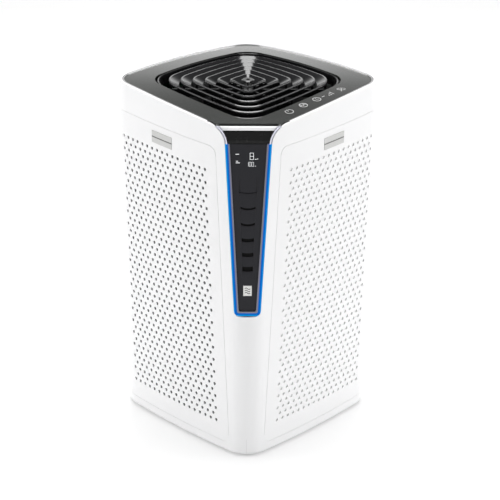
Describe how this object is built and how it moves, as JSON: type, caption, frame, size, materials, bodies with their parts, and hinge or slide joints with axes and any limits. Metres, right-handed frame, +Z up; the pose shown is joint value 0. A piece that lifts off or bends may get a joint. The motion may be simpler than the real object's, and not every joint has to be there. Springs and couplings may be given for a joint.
{
  "type": "air purifier",
  "caption": "Tower air purifier of square bowed plan with a display strip on one corner, pull-off perforated side covers over filters, and a louvred outlet in the top.",
  "frame": {"origin": "middle of the base, on the floor", "axes": "+Z up; the display corner lies between +X and -Y; the two side covers face -Y and +X"},
  "size_m": [0.3398, 0.3398, 0.61],
  "materials": {
    "white_abs": "satin white moulding",
    "black_gloss": "glossy black moulding",
    "dark_metal": "brushed dark metal effect",
    "chrome": "bright plated",
    "charcoal": "satin charcoal",
    "window": "glossy dark window",
    "lit_blue": "lit light guide",
    "bevel": "satin silver",
    "grey_plastic": "structural grey",
    "light_grey": "light grey frame",
    "filter_paper": "pleated filter paper",
    "mesh": "fine net",
    "pale_mesh": "fine undyed net",
    "foam": "closed cell foam",
    "rubber": "moulded rubber",
    "steel": "zinc plated",
    "board_green": "circuit board",
    "black_plastic": "moulded black",
    "tile": "printed tile"
  },
  "bodies": {
    "housing": {"main_shell": "white_abs", "rear_grip_left": "light_grey", "rear_grip_right": "light_grey", "base_tray": "grey_plastic", "rubber_feet": "rubber", "base_screws": "steel", "inner_chassis": "grey_plastic", "upper_deck": "grey_plastic", "air_duct": "black_plastic", "inlet_ring": "black_plastic", "motor_case": "steel", "motor_bearings": "steel", "motor_bracket": "steel", "motor_screws": "steel", "top_frame": "dark_metal", "trim_ring": "chrome", "corner_bar": "chrome", "outlet_grille": "black_gloss", "grille_cap": "black_gloss", "strip_carrier": "black_plastic", "light_guide": "lit_blue", "strip_bezel": "bevel", "strip_fascia": "charcoal", "display_window": "window", "emblem_tile": "tile", "sensor_vents": "charcoal", "shoulder_trim": "bevel", "head_cove": "black_gloss", "display_board": "board_green", "particle_sensor": "steel", "fan_deck": "grey_plastic", "outlet_funnel": "black_plastic", "touch_board": "board_green", "board_tray": "black_plastic", "main_board": "board_green", "mains_socket": "black_plastic", "left_strikes": "steel", "right_strikes": "steel", "left_guides": "grey_plastic", "right_guides": "grey_plastic"},
    "fan_wheel": {"impeller": "light_grey", "motor_shaft": "steel"},
    "left_cover_set": {"left_cover": "white_abs", "left_plate": "tile", "left_magnets": "steel"},
    "left_prefilter_set": {"left_prefilter": "light_grey", "left_prefilter_net": "mesh"},
    "left_filter_set": {"left_filter_case": "light_grey", "left_filter_pleats": "filter_paper", "left_filter_seal": "foam", "left_pull_tab": "black_plastic"},
    "right_cover_set": {"right_cover": "white_abs", "right_plate": "tile", "right_magnets": "steel"},
    "right_prefilter_set": {"right_prefilter": "light_grey", "right_prefilter_net": "pale_mesh"},
    "right_filter_set": {"right_filter_case": "light_grey", "right_filter_pleats": "filter_paper", "right_filter_seal": "foam", "right_pull_tab": "black_plastic"}
  },
  "joints": [
    {"name": "fan_spin", "type": "hinge", "parent": "housing", "child": "fan_wheel", "pos_m": [0, 0, 0.44], "axis": [0, 0, 1], "continuous": true},
    {"name": "left_cover_pull", "type": "slide", "parent": "housing", "child": "left_cover_set", "axis": [0, -1, 0], "range_m": [0, 0.3]},
    {"name": "left_prefilter_pull", "type": "slide", "parent": "housing", "child": "left_prefilter_set", "axis": [0, -1, 0], "range_m": [0, 0.21]},
    {"name": "left_filter_pull", "type": "slide", "parent": "housing", "child": "left_filter_set", "axis": [0, -1, 0], "range_m": [0, 0.12]},
    {"name": "right_cover_pull", "type": "slide", "parent": "housing", "child": "right_cover_set", "axis": [1, 0, 0], "range_m": [0, 0.3]},
    {"name": "right_prefilter_pull", "type": "slide", "parent": "housing", "child": "right_prefilter_set", "axis": [1, 0, 0], "range_m": [0, 0.21]},
    {"name": "right_filter_pull", "type": "slide", "parent": "housing", "child": "right_filter_set", "axis": [1, 0, 0], "range_m": [0, 0.12]}
  ],
  "couplings": [
    {"joint": "left_prefilter_pull", "follows": "left_cover_pull", "ratio": 0.7},
    {"joint": "left_filter_pull", "follows": "left_cover_pull", "ratio": 0.4},
    {"joint": "right_prefilter_pull", "follows": "right_cover_pull", "ratio": 0.7},
    {"joint": "right_filter_pull", "follows": "right_cover_pull", "ratio": 0.4}
  ]
}
